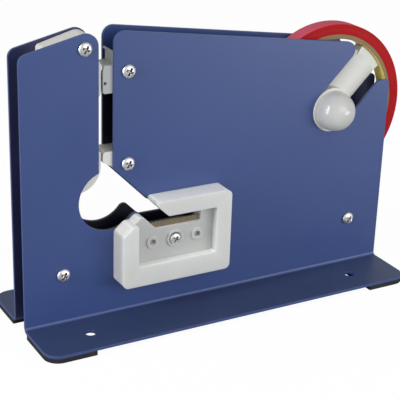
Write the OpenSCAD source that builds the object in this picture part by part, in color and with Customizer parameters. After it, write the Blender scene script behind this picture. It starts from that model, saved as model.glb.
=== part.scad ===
// Counter-top bag neck sealer: two folded steel side plates hold a tape roll, a sprung
// press arm, tape guides and a serrated knife, with a moulded trimmer on the front face.
// X runs along the plates, Y from front to back, Z up. The origin is the centre of the
// four bench holes, on the underside of the steel flanges.

/* [Side plates] */
// Length of each side plate
plate_l = 215; // [205:1:235]
// Thickness of the steel sheet
sheet_t = 1.5; // [1.2:0.1:1.8]
// Clear gap between the two side plates
plate_gap = 11.6; // [11.2:0.1:13]
// Depth of the left tower's outer end below the right tower's top
left_end_drop = 8; // [5:0.5:12]
// Upward slope of the left tower's top edge
left_slope = 13; // [8:1:15]
// Height of the right tower beside the throat
right_tower_h = 152.8; // [148:0.5:158]
// Downward slope of the right tower's top edge
right_slope = 8.1; // [5:0.1:10]
// Height of the horn at the right end
horn_h = 109.3; // [106:0.5:112]
// Radius of the towers' corners beside the throat
tower_corner_r = 5.5; // [3:0.5:7]
// Radius of the left tower's outer corner
end_corner_r = 4.5; // [2:0.5:6]
// Radius of the horn's outer corner
horn_corner_r = 2.5; // [1:0.5:3]

/* [Flanges and feet] */
// Width of each flange, from the outer face of its plate
flange_w = 31.5; // [28:0.5:40]
// Inner radius of the bend
bend_r = 1.6; // [1.2:0.1:3]
// Radius of the flanges' outer corners
flange_corner_r = 8; // [4:0.5:12]
// Diameter of the bench holes
bench_hole_d = 5.5; // [4.5:0.5:6.5]
// Distance of the bench holes from the ends of the plates
bench_hole_inset = 28.5; // [28.5:0.5:40]
// Distance of the bench holes from the outer face of the plate
bench_hole_out = 16; // [12:0.5:20]
// Thickness of the rubber feet
foot_t = 2.5; // [1.5:0.5:4]
// Length of each rubber foot
foot_l = 25.3; // [18:0.1:25.4]
// Distance from the plate's outer face to a foot's inner edge
foot_inset = 2; // [1.8:0.1:5]

/* [Throat and trimming slot] */
// Distance of the throat's left wall from the left end
throat_x = 40.4; // [38:0.2:43]
// Width of the throat
throat_w = 8; // [7.6:0.1:9]
// Height of the corner where the throat's right wall turns into the channel
throat_end_h = 82.9; // [82:0.1:84]
// Distance of the round cavity's centre from the throat's left wall
cavity_dx = 5.2; // [4.6:0.1:5.8]
// Height of the round cavity's centre
cavity_h = 66.6; // [66:0.1:67.2]
// Radius of the round cavity
cavity_r = 16; // [15.4:0.1:16.4]
// Width of the slanted channel
channel_w = 8.5; // [8.2:0.1:8.8]
// Height of the trimming slot's lower edge
trim_slot_h = 50.4; // [49.8:0.1:50.8]
// Width of the trimming slot
trim_slot_w = 7.6; // [7.2:0.1:8]
// Distance of the trimming slot's end from the left end
trim_slot_end = 94.5; // [92:0.5:97]
// Radius of the rounded hump between the cavity and the channel
hump_r = 3; // [2.5:0.1:3.4]

/* [Press arm] */
// Distance of the arm's pivot to the left of the throat
arm_pivot_dx = 7.1; // [6.8:0.1:7.6]
// Distance of the arm's pivot below the top corner of the left tower
arm_pivot_drop = 8.9; // [8.5:0.1:10]
// Distance the arm's pressing faces stand into the throat
arm_reach = 1.9; // [1.5:0.1:2.1]
// Radius of the round rib on the arm, opposite the upper guide's nose
arm_rib_r = 2.2; // [1.8:0.1:2.3]
// Width of the arm
arm_w = 28.8; // [26:0.2:30]
// Height of the arm's lower end
arm_end_h = 72; // [70:0.5:73]
// Radius of the arm's lower corner beside the throat
arm_foot_r = 13; // [8:0.5:14]
// Clearance between the arm and each side plate
arm_side_gap = 0.3; // [0.2:0.05:0.5]
// Outer diameter of the pivot sleeve
sleeve_d = 7; // [6.6:0.1:7.4]
// Diameter of the pin that the spring hooks on
spring_pin_d = 2.5; // [2:0.1:3]
// Outer diameter of the spring's coil
spring_od = 6.4; // [5.5:0.1:6.8]
// Diameter of the spring's wire
spring_wire_d = 0.9; // [0.7:0.05:0.9]
// Number of coils of the spring
spring_turns = 20; // [16:1:21]

/* [Posts and screws] */
// Diameter of the frame screws
screw_d = 4; // [3.5:0.1:4.2]
// Diameter of the frame screws' heads
screw_head_d = 7; // [6.4:0.1:8]
// Height of the frame screws' heads
screw_head_h = 2.2; // [1.8:0.1:2.8]
// Width across the flats of the frame nuts
nut_flats = 7; // [7:0.1:8]
// Thickness of the frame nuts
nut_t = 3.2; // [2.4:0.1:3.6]
// Length by which the screws stand out of their nuts
screw_tail = 2.2; // [1:0.1:3]
// Diameter of the posts that hold the plates apart
post_d = 8; // [7.4:0.1:9]
// Height of the two lower posts
post_h = 30.5; // [26:0.5:32]
// Distance of the left post to the left of the throat
left_post_dx = 19.5; // [18.5:0.5:21]
// Distance of the right post from the right end
right_post_inset = 21; // [16:0.5:30]

/* [Tape guides] */
// Distance of both guide screws to the right of the throat
guide_screw_dx = 7.7; // [7.4:0.1:8.4]
// Depth of the upper guide's screw below the right tower's top
upper_screw_drop = 20.8; // [20:0.1:21.6]
// Height of the lower guide's screw above the corner where the channel starts
lower_screw_rise = 1.7; // [1.4:0.1:2.1]
// Distance the guides' noses reach into the throat
nose_reach = 5.2; // [4.6:0.1:5.4]
// Height of the upper guide's ridge above its screw
upper_guide_rise = 11; // [10.4:0.1:12]
// Depth of the upper guide's nose below its ridge
nose_drop = 7.5; // [7:0.1:8]
// Depth of the upper guide's underside below its screw
upper_guide_drop = 10.5; // [10:0.1:12]
// Height of the lower guide's top above the corner where the channel starts
lower_guide_rise = 8.8; // [8:0.1:10]
// Length of both guides to the right of the throat
guide_l = 25; // [25:0.5:27]
// Thickness of the lower guide's two roller cheeks
cheek_t = 1.2; // [1:0.1:1.4]
// Diameter of the tape guide roller
roller_d = 11; // [9:0.5:12]
// Depth of the guide roller's axle below the middle between the two guides
roller_drop = 0.6; // [0:0.1:1.5]
// Diameter of the guide roller's axle pin
roller_pin_d = 3; // [2.5:0.1:3.4]
// Thickness of the tape knife
tape_knife_t = 0.8; // [0.6:0.1:1]
// Depth of the tape knife's seat in the lower guide
tape_knife_seat = 4; // [3.5:0.1:4.4]
// Height of the tape knife's tips above the lower guide
tape_knife_rise = 3; // [2:0.5:4]

/* [Trimmer] */
// Width of the trimmer housing
housing_w = 61.7; // [60:0.1:64]
// Thickness of the trimmer housing's rim
housing_t = 12; // [10:0.5:14]
// Thickness of the floor of the housing's recess
housing_floor_t = 7.2; // [6:0.1:8]
// Distance of the housing's left side to the right of the throat's right wall
housing_dx = 0.1; // [0:0.1:0.8]
// Depth of the housing's lower edge below the trimming slot
housing_drop = 28.8; // [27:0.2:30]
// Height of the housing's upper edge above the trimming slot's lower edge
housing_rise = 15.6; // [15:0.2:17]
// Width of the housing's rim at both sides
housing_rim_w = 8.4; // [7.6:0.1:9]
// Depth of the recess's lower edge below the trimming slot
recess_drop = 18; // [17:0.2:19]
// Radius of the housing's outer corners
housing_corner_r = 3; // [2:0.5:5]
// Thickness of the trimming knife
trim_knife_t = 0.8; // [0.6:0.1:1]
// Height of the trimming knife's teeth tips above the slot's lower edge
trim_tooth_rise = 2.8; // [2:0.1:4]
// Thickness of the housing's lip in front of the trimming knife
knife_lip_t = 1.4; // [1:0.1:2]
// Spacing of the trimming knife's teeth
tooth_pitch = 1.5; // [1.2:0.1:2]
// Height of the knives' teeth
tooth_h = 1; // [0.6:0.1:1.4]
// Diameter of the trimmer's screw
trim_screw_d = 3; // [2.5:0.1:3.2]
// Diameter of the trimmer's two dowels
dowel_d = 3.4; // [3:0.1:4]
// Width of the raised rings round the trimmer's screw and dowels
ring_w = 1.6; // [1.2:0.1:2]

/* [Tape roll] */
// Distance of the roll's axis from the right end of the plates
roll_inset = 37.2; // [36.4:0.2:38]
// Depth of the roll's axis below the horn's top
roll_drop = 12.5; // [11:0.5:14]
// Inner diameter of the tape core
core_id = 76; // [74:0.5:77]
// Wall of the tape core
core_wall = 2.4; // [2:0.1:3]
// Outer diameter of the tape roll
roll_od = 92; // [84:1:100]
// Width of the tape
tape_w = 9; // [8:0.1:9.4]

/* [Roll hub] */
// Width of the open slots that take the hub
hub_slot_w = 24.3; // [23.5:0.1:25]
// Slope of the open slots
hub_slot_angle = 45; // [44:0.5:46]
// Running clearance between the hub's bosses and the slots
boss_gap = 0.05; // [0.03:0.01:0.1]
// Clearance between the hub's end pads and the core
pad_gap = 0.3; // [0.2:0.05:0.5]
// Width of the hub's bar
hub_bar_w = 18.4; // [16:0.2:20]
// Thickness of the hub's bar
hub_bar_t = 9.4; // [8:0.1:10.4]
// Radius of the bar's rounded front and back
hub_bar_round = 14; // [13:0.5:16]
// Thickness of the hub's end pads, along the bar
hub_pad_t = 5; // [4:0.1:7]
// Width of the hub's end pads, from front to back
hub_pad_w = 6; // [5:0.1:8]
// Half of the angle that each end pad spans
hub_pad_angle = 13; // [11:1:14]
// Diameter of the hub's ball knob
knob_d = 21.4; // [20:0.2:23]
// Distance the hub's rear boss stands out behind the rear plate
rear_boss_out = 2; // [1:0.5:3]

/* [Hidden] */
$fn = 96;

// Colours
steel_blue = [0.28, 0.36, 0.58];
nylon_white = [0.85, 0.85, 0.83];
zinc = [0.80, 0.81, 0.83];
rubber_black = [0.06, 0.06, 0.07];
knife_steel = [0.55, 0.53, 0.50];
kraft = [0.66, 0.55, 0.40];
tape_red = [0.72, 0.10, 0.15];

// Faces of the two plates
inner_y = plate_gap / 2;
outer_y = inner_y + sheet_t;
flange_y = outer_y + flange_w;
cut = 1;
press_gap = 0.02;
run_gap = 0.05;
free_gap = 0.1;

// Heights here are measured from the bench that the feet stand on, and lengths from the
// left end of the plates. These two put them into the model's own frame.
function along(x) = x - plate_l / 2;
function up(h) = h - foot_t;
function place(points) = [for (p = points) [along(p.x), up(p.y)]];

// Heights that follow the towers, the horn and the channel
left_end_h = right_tower_h - left_end_drop;
roll_h = horn_h - roll_drop;
upper_screw_h = right_tower_h - upper_screw_drop;
upper_guide_top = upper_screw_h + upper_guide_rise;
upper_guide_bottom = upper_screw_h - upper_guide_drop;
upper_nose_h = upper_guide_top - nose_drop;
lower_screw_h = throat_end_h + lower_screw_rise;
lower_guide_top = throat_end_h + lower_guide_rise;
roller_h = (lower_guide_top + upper_guide_bottom) / 2 - roller_drop;

// Throat, cavity and channel
throat_right = throat_x + throat_w;
left_tower_h = left_end_h + throat_x * tan(left_slope);
cavity = [throat_x + cavity_dx, cavity_h];
channel_top_sum = throat_right + throat_end_h;
channel_low_sum = channel_top_sum - channel_w * sqrt(2);
trim_top_h = trim_slot_h + trim_slot_w;
slot_corner_r = 1.5;

// The hump's round touches the cavity from outside and the channel's lower edge
hump_sum = channel_low_sum - cavity.x - cavity.y - hump_r * sqrt(2);
hump_reach = cavity_r + hump_r;
hump_dx = (hump_sum + sqrt(2 * pow(hump_reach, 2) - pow(hump_sum, 2))) / 2;
hump = cavity + [hump_dx, hump_sum - hump_dx];
hump_on_cavity = cavity + (hump - cavity) * cavity_r / hump_reach;
hump_on_channel = hump + [1, 1] * hump_r / sqrt(2);
tip_sum = channel_low_sum - cavity.x - cavity.y;
tip_dx = (tip_sum + sqrt(2 * pow(cavity_r, 2) - pow(tip_sum, 2))) / 2;
hump_tip = cavity + [tip_dx, tip_sum - tip_dx];

// Roll axis and hub slot
roll = [plate_l - roll_inset, roll_h];
slot_dir = [cos(hub_slot_angle), sin(hub_slot_angle)];
slot_side = [-slot_dir.y, slot_dir.x] * hub_slot_w / 2;
slot_left = roll + slot_side;
slot_right = roll - slot_side;
slot_left_run = (right_tower_h - slot_left.y - (slot_left.x - throat_right) * tan(right_slope))
    / (slot_dir.y + slot_dir.x * tan(right_slope));
slot_right_run = (horn_h - slot_right.y) / slot_dir.y;
slot_mouth_r = 5;
horn_tip_r = 1;

// Screws and posts
arm_pivot = [throat_x - arm_pivot_dx, left_tower_h - arm_pivot_drop];
upper_screw = [throat_right + guide_screw_dx, upper_screw_h];
lower_screw = [throat_right + guide_screw_dx, lower_screw_h];
left_foot_post = [throat_x - left_post_dx, post_h];
right_foot_post = [plate_l - right_post_inset, post_h];
FRAME_SCREWS = [arm_pivot, upper_screw, lower_screw, left_foot_post, right_foot_post];
screw_l = 2 * outer_y + nut_t + screw_tail;

// Press arm
arm_right = throat_x + arm_reach;
arm_left = arm_right - arm_w;
arm_y = inner_y - arm_side_gap;
arm_relief = 2.5;
arm_rib = [throat_x + 0.5, upper_nose_h - 0.8];
rib_gap = 0.5;
spring_pin = [left_foot_post.x, arm_end_h + 6];
spring_slot_w = spring_wire_d + 3.6;

// Tape guides
nose_x = throat_right - nose_reach;
guide_right = throat_right + guide_l;
roller = [throat_right + 19.6, roller_h];
roller_w = plate_gap - 2 * cheek_t - 0.4;
tape_knife_x = throat_right + 8.2;
tape_knife_w = tape_w + 0.6;
upper_dowel = upper_screw + [9, -5];
lower_dowel = lower_screw + [12, -2];
guide_dowel_d = 3;
guide_dowel_depth = 5;

// Trimmer
housing_bottom_h = trim_slot_h - housing_drop;
housing_top_h = trim_slot_h + housing_rise;
recess_bottom_h = trim_slot_h - recess_drop;
housing_left = throat_right + housing_dx;
housing_right = housing_left + housing_w;
recess_left = housing_left + housing_rim_w;
recess_right = housing_right - housing_rim_w;
recess_top = trim_top_h - 0.3;
floor_top_h = trim_slot_h - 0.3;
lip_sum = channel_low_sum - 0.4;
housing_y = -outer_y - housing_t;
floor_y = -outer_y - housing_floor_t;
trim_mid = (recess_left + recess_right) / 2 + 0.3;
trim_hole_h = trim_slot_h - 7.6;
dowel_dx = 12.9;
trim_screw = [trim_mid, trim_hole_h];
trim_dowels = [trim_screw - [dowel_dx, 0], trim_screw + [dowel_dx, 0]];
trim_tip_h = trim_slot_h + trim_tooth_rise;
trim_head_d = 2 * trim_screw_d;
knife_low = trim_hole_h + trim_head_d / 2;
knife_high = trim_tip_h - tooth_h;
knife_left = lip_sum - knife_high;
trim_head_h = 2.2;
trim_nut_flats = 5.5;
trim_nut_t = 2.4;
pocket_gap = 0.1;
knife_right = trim_slot_end - pocket_gap;
knife_y = floor_y + knife_lip_t;
ring_t = 0.8;
dowel_sink = 1.5;

// Hub
boss_r = hub_slot_w / 2 - boss_gap;
pad_r = core_id / 2 - pad_gap;
boss_front_y = outer_y + 0.6;
knob_seat = 2.6;
knob_stub_r = 5;
knob_stub_l = 6;

// Unit vector
function unit(v) = v / norm(v);

// Round between the edges a-b and b-c, tangent to both
function corner(a, b, c, r, steps = 10) = r <= 0 ? [b] :
    let (u = unit(a - b), v = unit(c - b), half = acos(u * v) / 2, mid = b + unit(u + v) * r / sin(half),
         from = b + u * r / tan(half) - mid, to = b + v * r / tan(half) - mid,
         turn = (180 - 2 * half) * sign(cross(from, to)))
    [for (i = [0 : steps]) let (t = turn * i / steps)
        mid + [from.x * cos(t) - from.y * sin(t), from.x * sin(t) + from.y * cos(t)]];

// Closed outline from rows of [x, height, radius], in the model's frame
function outline(rows) =
    let (n = len(rows), p = place([for (row = rows) [row[0], row[1]]]))
    [for (i = [0 : n - 1]) each corner(p[(i + n - 1) % n], p[i], p[(i + 1) % n], rows[i][2])];

// Rows that all have the same radius
function rows_of(points, r) = [for (p = points) [p.x, p.y, r]];

// Slab of an outline in X and Z, from y0 to y1
module slab(y0, y1) {
    translate([0, y1, 0]) rotate([90, 0, 0]) linear_extrude(height = y1 - y0) children();
}

// Round bar or bore along Y at a point of the plate
module round_y(p, r, y0, y1) {
    translate([along(p.x), y1, up(p.y)]) rotate([90, 0, 0]) cylinder(r = r, h = y1 - y0);
}

// Everything the bag neck passes through: cavity, channel and trimming slot
module neck_path() {
    intersection() {
        translate([along(cavity.x), up(cavity.y)]) circle(r = cavity_r);
        polygon(place([
            cavity - [2, 2] * cavity_r,
            [channel_top_sum - cavity.y + 2 * cavity_r, cavity.y - 2 * cavity_r],
            [cavity.x - 2 * cavity_r, channel_top_sum - cavity.x + 2 * cavity_r]
        ]));
    }
    polygon(outline([
        [throat_right, throat_end_h, 0],
        [throat_right, cavity_h, 0],
        [cavity.x + cavity_r / 2, channel_low_sum - cavity.x - cavity_r / 2, 0],
        [channel_low_sum - trim_slot_h, trim_slot_h, 0],
        [trim_slot_end, trim_slot_h, slot_corner_r],
        [trim_slot_end, trim_top_h, slot_corner_r],
        [channel_top_sum - trim_top_h, trim_top_h, slot_corner_r]
    ]));
    difference() {
        polygon(place([
            hump, hump_on_channel, hump_on_channel + [1, 1], hump_tip + [1, 1], hump_tip - [1, 0],
            hump_on_cavity + (cavity - hump) / 20
        ]));
        translate([along(hump.x), up(hump.y)]) circle(r = hump_r);
    }
}

// Flat outline of a side plate above the bend
module plate_outline() {
    difference() {
        polygon(outline([
            [0, foot_t + sheet_t + bend_r, 0],
            [plate_l, foot_t + sheet_t + bend_r, 0],
            [plate_l, horn_h, horn_corner_r],
            [slot_right.x + slot_dir.x * slot_right_run, horn_h, horn_tip_r],
            [slot_right.x, slot_right.y, 0],
            [slot_left.x, slot_left.y, 0],
            [slot_left.x + slot_dir.x * slot_left_run, slot_left.y + slot_dir.y * slot_left_run, slot_mouth_r],
            [throat_right, right_tower_h, tower_corner_r],
            [throat_right, cavity_h, 0],
            [throat_x, cavity_h, 0],
            [throat_x, left_tower_h, tower_corner_r + 1],
            [0, left_end_h, end_corner_r]
        ]));
        neck_path();
        translate([along(roll.x), up(roll.y)]) circle(r = hub_slot_w / 2);
    }
}

// Quarter round of the bend, in Y and Z
module bend_section() {
    intersection() {
        difference() {
            circle(r = bend_r + sheet_t);
            circle(r = bend_r);
        }
        translate([0, -bend_r - sheet_t]) square(bend_r + sheet_t);
    }
}

// Side plate with its flange turned to the front
module side_plate() {
    difference() {
        union() {
            slab(-outer_y, -inner_y) plate_outline();
            translate([along(0), -outer_y - bend_r, sheet_t + bend_r])
                rotate([90, 0, 90]) linear_extrude(height = plate_l) bend_section();
            linear_extrude(height = sheet_t) flange_outline(along(0), along(plate_l), outer_y + bend_r);
        }
        for (x = [bench_hole_inset, plate_l - bench_hole_inset])
            translate([along(x), -outer_y - bench_hole_out, -cut])
                cylinder(d = bench_hole_d, h = sheet_t + 2 * cut);
        for (p = FRAME_SCREWS) round_y(p, screw_d / 2 + free_gap, -outer_y - cut, -inner_y + cut);
    }
}

// Flat strip with two rounded outer corners, from y_near out to the flange's edge
module flange_outline(x0, x1, y_near) {
    polygon(concat(
        [[x1, -y_near], [x0, -y_near]],
        corner([x0, -y_near], [x0, -flange_y], [x1, -flange_y], flange_corner_r),
        corner([x0, -flange_y], [x1, -flange_y], [x1, -y_near], flange_corner_r)
    ));
}

module front_plate() {
    color(steel_blue) difference() {
        side_plate();
        for (p = trim_dowels) round_y(p, dowel_d / 2 + press_gap, -outer_y - cut, -inner_y + cut);
        round_y(trim_screw, trim_screw_d / 2 + free_gap, -outer_y - cut, -inner_y + cut);
    }
}

module rear_plate() {
    color(steel_blue) difference() {
        mirror([0, 1, 0]) side_plate();
        for (p = [upper_dowel, lower_dowel])
            round_y(p, guide_dowel_d / 2 + press_gap, inner_y - cut, outer_y + cut);
    }
}

// Rubber foot under the front left end, with the flange's own corner
module foot() {
    translate([0, 0, -foot_t]) linear_extrude(height = foot_t) intersection() {
        flange_outline(along(0), along(plate_l), outer_y + foot_inset);
        translate([along(0), -flange_y]) square([foot_l, flange_w]);
    }
}

module foot_front_left() {
    color(rubber_black) foot();
}

module foot_front_right() {
    color(rubber_black) mirror([1, 0, 0]) foot();
}

module foot_rear_left() {
    color(rubber_black) mirror([0, 1, 0]) foot();
}

module foot_rear_right() {
    color(rubber_black) mirror([1, 0, 0]) mirror([0, 1, 0]) foot();
}

// Pan-head screw along Y, its head's underside at y and its shank going back
module pan_screw(p, d, head_d, head_h, y, l) {
    dome_r = (pow(head_d / 2, 2) + pow(head_h, 2)) / (2 * head_h) + 0.6;
    round_y(p, d / 2, y, y + l);
    intersection() {
        round_y(p, head_d / 2, y - head_h, y);
        translate([along(p.x), y - head_h + dome_r, up(p.y)]) sphere(r = dome_r);
    }
}

// Hexagon nut along Y, from y to y + t
module hex_nut(p, d, flats, y, t) {
    difference() {
        translate([along(p.x), y + t, up(p.y)]) rotate([90, 0, 0])
            cylinder(d = flats / cos(30), h = t, $fn = 6);
        round_y(p, d / 2 + run_gap, y - cut, y + t + cut);
    }
}

module frame_screws() {
    color(zinc) for (p = FRAME_SCREWS)
        pan_screw(p, screw_d, screw_head_d, screw_head_h, -outer_y, screw_l);
}

module frame_nuts() {
    color(zinc) for (p = FRAME_SCREWS) hex_nut(p, screw_d, nut_flats, outer_y, nut_t);
}

// Tube that holds the plates apart round a frame screw
module spacer(p, d) {
    difference() {
        round_y(p, d / 2, -inner_y, inner_y);
        round_y(p, screw_d / 2 + free_gap, -inner_y - cut, inner_y + cut);
    }
}

module left_post() {
    color(zinc) spacer(left_foot_post, post_d);
}

module right_post() {
    color(zinc) spacer(right_foot_post, post_d);
}

module arm_sleeve() {
    color(zinc) spacer(arm_pivot, sleeve_d);
}

// White arm that hangs on the sleeve and presses the tape against the guides
module press_arm() {
    arm_top = left_tower_h - 0.4;
    color(nylon_white) difference() {
        union() {
            slab(-arm_y, arm_y) polygon(outline([
                [arm_left, arm_end_h, 5],
                [arm_right, arm_end_h, min(arm_foot_r, lower_guide_top - arm_end_h - 1.5)],
                [arm_right, lower_guide_top, 1],
                [arm_right - arm_relief, lower_guide_top + arm_relief, 1],
                [arm_right - arm_relief, upper_guide_bottom - arm_relief, 1],
                [arm_right, upper_guide_bottom, 1],
                [arm_right, upper_nose_h + 1, 2],
                [arm_right - arm_relief, upper_nose_h + 5, 2],
                [arm_right - arm_relief, arm_top, 6],
                [arm_left, left_end_h + arm_left * tan(left_slope) - 1.5, 2]
            ]));
            round_y(arm_rib, arm_rib_r, -arm_y, arm_y);
        }
        round_y(arm_pivot, sleeve_d / 2 + run_gap, -inner_y, inner_y);
        round_y(spring_pin, spring_pin_d / 2 + press_gap, -inner_y, inner_y);
        slab(-spring_slot_w / 2, spring_slot_w / 2) polygon(place([
            [spring_pin.x - 5, arm_end_h - cut], [spring_pin.x + 5, arm_end_h - cut],
            [spring_pin.x + 5, spring_pin.y + 4], [spring_pin.x - 5, spring_pin.y + 4]
        ]));
    }
}

module arm_spring_pin() {
    color(zinc) round_y(spring_pin, spring_pin_d / 2, -arm_y, arm_y);
}

// Path of the spring's wire: a loop round the post, the coil, a loop round the pin
spring_r = (spring_od - spring_wire_d) / 2;
low_loop_r = post_d / 2 + spring_wire_d / 2 + 0.2;
high_loop_r = spring_pin_d / 2 + spring_wire_d / 2 + 0.2;
coil_low = left_foot_post.y + low_loop_r + 3;
coil_high = arm_end_h - 2.5;
coil_pitch = (coil_high - coil_low) / (spring_turns + 0.5);
loop_steps = 14;
coil_steps = 8;
lead_steps = 5;
loop_sweep = 280;
function loop_point(mid, r, t) = [mid.x + r * cos(t), 0, mid.y + r * sin(t)];
function coil_point(t) = [
    left_foot_post.x + spring_r * cos(t), spring_r * sin(t), coil_low + coil_pitch * t / 360
];
// Smooth lead between two points with given directions
function lead(a, da, b, db) = [for (i = [1 : lead_steps - 1]) let (s = i / lead_steps)
    a * (1 - 3 * s * s + 2 * s * s * s) + da * (s - 2 * s * s + s * s * s)
    + b * (3 * s * s - 2 * s * s * s) + db * (s * s * s - s * s)];
low_end = 60;
high_start = -60;
coil_end = 360 * spring_turns + 180;
SPRING_PATH = let (
        low_loop = [for (i = [0 : loop_steps]) loop_point(left_foot_post, low_loop_r,
            low_end - loop_sweep + loop_sweep * i / loop_steps)],
        high_loop = [for (i = [0 : loop_steps]) loop_point(spring_pin, high_loop_r,
            high_start + loop_sweep * i / loop_steps)],
        coil = [for (i = [0 : coil_end * coil_steps / 360]) coil_point(i * 360 / coil_steps)]
    ) concat(
        low_loop,
        lead(low_loop[loop_steps], 6 * [-sin(low_end), 0, cos(low_end)], coil[0], [0, 6, 1]),
        coil,
        lead(coil[len(coil) - 1], [0, -6, 1], high_loop[0], 6 * [-sin(high_start), 0, cos(high_start)]),
        high_loop
    );

// Tube of six sides along a path
module tube(path, r, sides = 6) {
    last = len(path) - 1;
    dirs = [for (i = [0 : last]) unit(path[min(i + 1, last)] - path[max(i - 1, 0)])];
    first = unit(cross(dirs[0], [0, 1, 0.1]));
    normals = [for (i = 0, n = first; i <= last;
        n = i < last ? unit(n - (n * dirs[i + 1]) * dirs[i + 1]) : n, i = i + 1) n];
    points = [for (i = [0 : last]) for (k = [0 : sides - 1]) let (t = 360 * k / sides)
        path[i] + r * (cos(t) * normals[i] + sin(t) * cross(dirs[i], normals[i]))];
    sides_faces = [for (i = [0 : last - 1]) for (k = [0 : sides - 1])
        let (a = i * sides + k, b = i * sides + (k + 1) % sides)
        each [[a, a + sides, b + sides], [a, b + sides, b]]];
    start_cap = [for (k = [1 : sides - 2]) [0, k, k + 1]];
    end_cap = [for (k = [1 : sides - 2]) let (e = last * sides) [e, e + k + 1, e + k]];
    polyhedron(points = points, faces = concat(sides_faces, start_cap, end_cap), convexity = 10);
}

module arm_spring() {
    last = len(SPRING_PATH) - 1;
    apart = [for (i = [0 : last]) for (j = [i + coil_steps - 2 : 1 : last])
        norm(SPRING_PATH[i] - SPRING_PATH[j])];
    echo(least_gap_of_spring_to_itself = min(apart) - spring_wire_d);
    color(zinc) tube([for (p = SPRING_PATH) [along(p.x), p.y, up(p.z)]], spring_wire_d / 2);
}

// White guide that narrows the throat above the tape
module upper_guide() {
    color(nylon_white) difference() {
        slab(-inner_y, inner_y) polygon(outline([
            [nose_x, upper_guide_bottom, 1.2],
            [nose_x, upper_nose_h, 1],
            [throat_right, upper_nose_h, 0],
            [throat_right, upper_guide_top, 0.6],
            [throat_right + 7, upper_guide_top - 7, 0],
            [guide_right - 6, upper_guide_top - 7, 3],
            [guide_right - 2, upper_guide_bottom + 9, 3],
            [guide_right - 6, upper_guide_bottom, 3]
        ]));
        round_y(arm_rib, arm_rib_r + rib_gap, -inner_y - cut, inner_y + cut);
        round_y([throat_right, upper_guide_top - 4.6], 2.8, inner_y - 2.8, inner_y + cut);
        round_y([nose_x + 1.2, upper_guide_bottom + 5.2], 0.8, -inner_y - cut, -inner_y + 4);
        round_y(upper_screw, screw_d / 2 + free_gap, -inner_y - cut, inner_y + cut);
        round_y(upper_dowel, guide_dowel_d / 2 + press_gap, inner_y - guide_dowel_depth, inner_y + cut);
    }
}

// White guide below the tape, with the knife's slot and two cheeks for the guide roller
module lower_guide() {
    color(nylon_white) difference() {
        union() {
            slab(-inner_y, inner_y) polygon(outline([
                [nose_x, throat_end_h + 3.6, 1],
                [throat_right + 0.2, throat_end_h + 0.5, 0],
                [throat_right + 8, throat_end_h - 7.2, 1.5],
                [guide_right - 6, throat_end_h - 7.2, 3],
                [guide_right, throat_end_h, 3],
                [guide_right, lower_guide_top, 1],
                [nose_x, lower_guide_top, 1.5]
            ]));
            for (y = [-inner_y, inner_y - cheek_t]) {
                round_y(roller, roller_d / 2 + 0.5, y, y + cheek_t);
                slab(y, y + cheek_t) polygon(place([
                    [roller.x - roller_d / 2 - 0.5, lower_guide_top - 2],
                    [guide_right - 1.5, lower_guide_top - 2],
                    [roller.x + roller_d / 2 - 0.6, roller.y],
                    [roller.x - roller_d / 2 - 0.5, roller.y]
                ]));
            }
        }
        round_y(lower_screw, screw_d / 2 + free_gap, -inner_y - cut, inner_y + cut);
        round_y(roller, roller_pin_d / 2 + press_gap, -inner_y - cut, inner_y + cut);
        round_y(lower_dowel, guide_dowel_d / 2 + press_gap, inner_y - guide_dowel_depth, inner_y + cut);
        translate([
            along(tape_knife_x) - run_gap, -tape_knife_w / 2 - run_gap, up(lower_guide_top - tape_knife_seat)
        ]) cube([tape_knife_t + 2 * run_gap, tape_knife_w + 2 * run_gap, tape_knife_seat + cut]);
    }
}

// Pins that keep the guides from turning, seated in the rear plate
module guide_dowels() {
    color(zinc) for (p = [upper_dowel, lower_dowel])
        round_y(p, guide_dowel_d / 2, inner_y - guide_dowel_depth, outer_y);
}

// Saw-tooth edge from x0 to x1 with its tips at h
function teeth(x0, x1, h) = let (n = max(2, round(abs(x1 - x0) / tooth_pitch)), step = (x1 - x0) / n)
    [for (i = [0 : n - 1]) each [[x0 + i * step, h - tooth_h], [x0 + (i + 0.5) * step, h]]];

// Knife that cuts the tape, standing in the lower guide
module tape_knife() {
    low = up(lower_guide_top - tape_knife_seat);
    high = up(lower_guide_top + tape_knife_rise);
    color(knife_steel) translate([along(tape_knife_x), 0, 0]) rotate([90, 0, 90])
        linear_extrude(height = tape_knife_t) polygon(concat(
            [[-tape_knife_w / 2, low], [tape_knife_w / 2, low]],
            teeth(tape_knife_w / 2, -tape_knife_w / 2, high),
            [[-tape_knife_w / 2, high - tooth_h]]
        ));
}

module guide_roller() {
    color(rubber_black) difference() {
        round_y(roller, roller_d / 2, -roller_w / 2, roller_w / 2);
        round_y(roller, roller_pin_d / 2 + run_gap, -roller_w, roller_w);
    }
}

module guide_roller_pin() {
    color(zinc) round_y(roller, roller_pin_d / 2, -inner_y, inner_y);
}

// Full outline of the housing, with the lip and notch along the neck's path
module housing_outline() {
    lip_top = lip_sum - 3.2 - recess_left;
    polygon(outline([
        [housing_left, housing_bottom_h, housing_corner_r],
        [housing_right, housing_bottom_h, housing_corner_r],
        [housing_right, housing_top_h, housing_corner_r],
        [channel_top_sum - housing_top_h, housing_top_h, 1.5],
        [channel_top_sum - recess_top, recess_top, slot_corner_r],
        [trim_slot_end, recess_top, 1],
        [trim_slot_end, floor_top_h, 0],
        [lip_sum - floor_top_h, floor_top_h, 0],
        [recess_left + 3.9, lip_sum - recess_left - 3.9, 2.8],
        [recess_left + 0.3, lip_top - 4.2, 1.5],
        [recess_left - 3, lip_top - 4.4, 3],
        [housing_left, lip_top - 9, 2.5]
    ]));
}

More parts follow.
